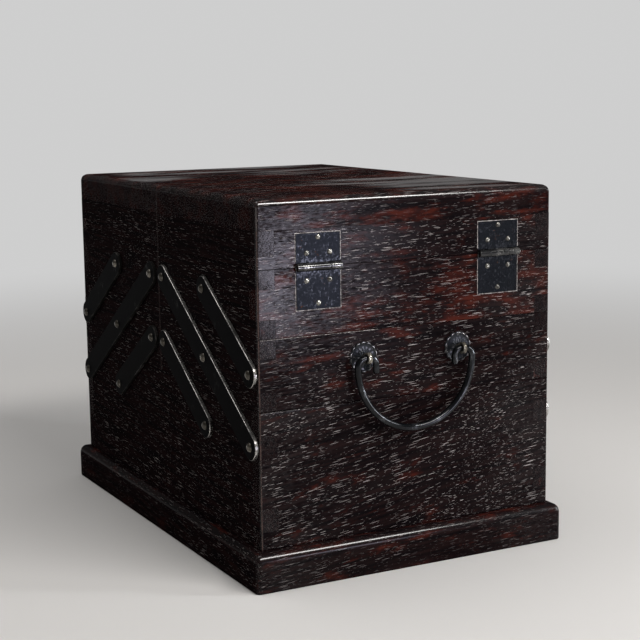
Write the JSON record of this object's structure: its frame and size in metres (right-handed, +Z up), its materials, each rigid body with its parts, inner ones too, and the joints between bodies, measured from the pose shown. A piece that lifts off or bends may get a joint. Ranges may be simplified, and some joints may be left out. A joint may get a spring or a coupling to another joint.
{
  "type": "expanding box",
  "caption": "Hardwood expanding box on a plinth: stacked trays with hinged lids swing out to either side on flat iron arms, staying level, and a bail handle hangs on each handle face.",
  "frame": {"origin": "middle of the footprint, on the surface that the plinth stands on", "axes": "+Z up; +X along a handle face, the box's width; -Y out of the front handle face, so the halves swing out along -Y and +Y"},
  "size_m": [0.224, 0.3296, 0.236],
  "materials": {
    "plinth_wood": "polished dark hardwood, rounded edge worn a little paler",
    "face_wood": "polished near-black hardwood with short pale pores and red-brown streaks",
    "end_wood": "polished near-black hardwood with short pale pores",
    "lid_wood": "polished red-black hardwood with a soft sheen",
    "floor_wood": "planed dark hardwood, less polished",
    "arm_iron": "blackened flat iron with worn bright edges",
    "hinge_iron": "blued iron with worn edges and a little rust",
    "bail_iron": "forged iron wire, rubbed smooth",
    "rosette_iron": "dark stamped iron with a paler rim",
    "eye_brass": "aged brass strip",
    "pin_brass": "dull domed brass",
    "screw_brass": "domed brass, rubbed bright"
  },
  "bodies": {
    "box": {"plinth_front": "plinth_wood", "plinth_rear": "plinth_wood", "plinth_left": "plinth_wood", "plinth_right": "plinth_wood", "box_front": "face_wood", "box_rear": "face_wood", "box_ends": "end_wood", "box_floor": "floor_wood", "box_pins": "pin_brass"},
    "front_long_arms": {"front_long_arms": "arm_iron"},
    "front_lower_arms": {"front_lower_arms": "arm_iron"},
    "front_upper_arms": {"front_upper_arms": "arm_iron"},
    "front_mid_tray": {"front_mid_outer": "face_wood", "front_mid_inner": "end_wood", "front_mid_ends": "end_wood", "front_mid_floor": "floor_wood", "front_mid_pins": "pin_brass", "front_eyes": "eye_brass", "front_rosettes": "rosette_iron"},
    "front_top_tray": {"front_top_outer": "face_wood", "front_top_inner": "end_wood", "front_top_ends": "end_wood", "front_top_floor": "floor_wood", "front_top_pins": "pin_brass", "front_tray_leaves": "hinge_iron", "front_hinge_pins": "hinge_iron", "front_tray_screws": "screw_brass"},
    "front_lid": {"front_lid_board": "lid_wood", "front_lid_outer": "face_wood", "front_lid_inner": "end_wood", "front_lid_ends": "end_wood", "front_lid_leaves": "hinge_iron", "front_lid_screws": "screw_brass"},
    "front_bail": {"front_bail": "bail_iron"},
    "rear_long_arms": {"rear_long_arms": "arm_iron"},
    "rear_lower_arms": {"rear_lower_arms": "arm_iron"},
    "rear_upper_arms": {"rear_upper_arms": "arm_iron"},
    "rear_mid_tray": {"rear_mid_outer": "face_wood", "rear_mid_inner": "end_wood", "rear_mid_ends": "end_wood", "rear_mid_floor": "floor_wood", "rear_mid_pins": "pin_brass", "rear_eyes": "eye_brass", "rear_rosettes": "rosette_iron"},
    "rear_top_tray": {"rear_top_outer": "face_wood", "rear_top_inner": "end_wood", "rear_top_ends": "end_wood", "rear_top_floor": "floor_wood", "rear_top_pins": "pin_brass", "rear_tray_leaves": "hinge_iron", "rear_hinge_pins": "hinge_iron", "rear_tray_screws": "screw_brass"},
    "rear_lid": {"rear_lid_board": "lid_wood", "rear_lid_outer": "face_wood", "rear_lid_inner": "end_wood", "rear_lid_ends": "end_wood", "rear_lid_leaves": "hinge_iron", "rear_lid_screws": "screw_brass"},
    "rear_bail": {"rear_bail": "bail_iron"}
  },
  "joints": [
    {"name": "front_spread", "type": "hinge", "parent": "box", "child": "front_long_arms", "pos_m": [0, -0.1453, 0.08705], "axis": [1, 0, 0], "range_deg": [0, 113.33]},
    {"name": "front_lower_arm_pivot", "type": "hinge", "parent": "box", "child": "front_lower_arms", "pos_m": [0, -0.0781, 0.08705], "axis": [1, 0, 0], "range_deg": [0, 113.33]},
    {"name": "front_mid_tray_pivot", "type": "hinge", "parent": "front_long_arms", "child": "front_mid_tray", "pos_m": [0, -0.0781, 0.13125], "axis": [1, 0, 0], "range_deg": [-113.33, 0]},
    {"name": "front_top_tray_pivot", "type": "hinge", "parent": "front_long_arms", "child": "front_top_tray", "pos_m": [0, -0.0109, 0.17545], "axis": [1, 0, 0], "range_deg": [-113.33, 0]},
    {"name": "front_upper_arm_pivot", "type": "hinge", "parent": "front_mid_tray", "child": "front_upper_arms", "pos_m": [0, -0.1453, 0.13125], "axis": [1, 0, 0], "range_deg": [0, 113.33]},
    {"name": "front_lid_hinge", "type": "hinge", "parent": "front_top_tray", "child": "front_lid", "pos_m": [0, -0.1565, 0.19465], "axis": [1, 0, 0], "range_deg": [0, 180]},
    {"name": "front_bail_swing", "type": "hinge", "parent": "front_mid_tray", "child": "front_bail", "pos_m": [0, -0.161, 0.13665], "axis": [-1, 0, 0], "range_deg": [0, 90]},
    {"name": "rear_spread", "type": "hinge", "parent": "box", "child": "rear_long_arms", "pos_m": [0, 0.1453, 0.08705], "axis": [-1, 0, 0], "range_deg": [0, 113.33]},
    {"name": "rear_lower_arm_pivot", "type": "hinge", "parent": "box", "child": "rear_lower_arms", "pos_m": [0, 0.0781, 0.08705], "axis": [-1, 0, 0], "range_deg": [0, 113.33]},
    {"name": "rear_mid_tray_pivot", "type": "hinge", "parent": "rear_long_arms", "child": "rear_mid_tray", "pos_m": [0, 0.0781, 0.13125], "axis": [-1, 0, 0], "range_deg": [-113.33, 0]},
    {"name": "rear_top_tray_pivot", "type": "hinge", "parent": "rear_long_arms", "child": "rear_top_tray", "pos_m": [0, 0.0109, 0.17545], "axis": [-1, 0, 0], "range_deg": [-113.33, 0]},
    {"name": "rear_upper_arm_pivot", "type": "hinge", "parent": "rear_mid_tray", "child": "rear_upper_arms", "pos_m": [0, 0.1453, 0.13125], "axis": [-1, 0, 0], "range_deg": [0, 113.33]},
    {"name": "rear_lid_hinge", "type": "hinge", "parent": "rear_top_tray", "child": "rear_lid", "pos_m": [0, 0.1565, 0.19465], "axis": [-1, 0, 0], "range_deg": [0, 180]},
    {"name": "rear_bail_swing", "type": "hinge", "parent": "rear_mid_tray", "child": "rear_bail", "pos_m": [0, 0.161, 0.13665], "axis": [1, 0, 0], "range_deg": [0, 90]}
  ],
  "couplings": [
    {"joint": "front_lower_arm_pivot", "follows": "front_spread", "ratio": 1},
    {"joint": "front_mid_tray_pivot", "follows": "front_spread", "ratio": -1},
    {"joint": "front_top_tray_pivot", "follows": "front_spread", "ratio": -1},
    {"joint": "front_upper_arm_pivot", "follows": "front_spread", "ratio": 1},
    {"joint": "rear_lower_arm_pivot", "follows": "rear_spread", "ratio": 1},
    {"joint": "rear_mid_tray_pivot", "follows": "rear_spread", "ratio": -1},
    {"joint": "rear_top_tray_pivot", "follows": "rear_spread", "ratio": -1},
    {"joint": "rear_upper_arm_pivot", "follows": "rear_spread", "ratio": 1}
  ]
}
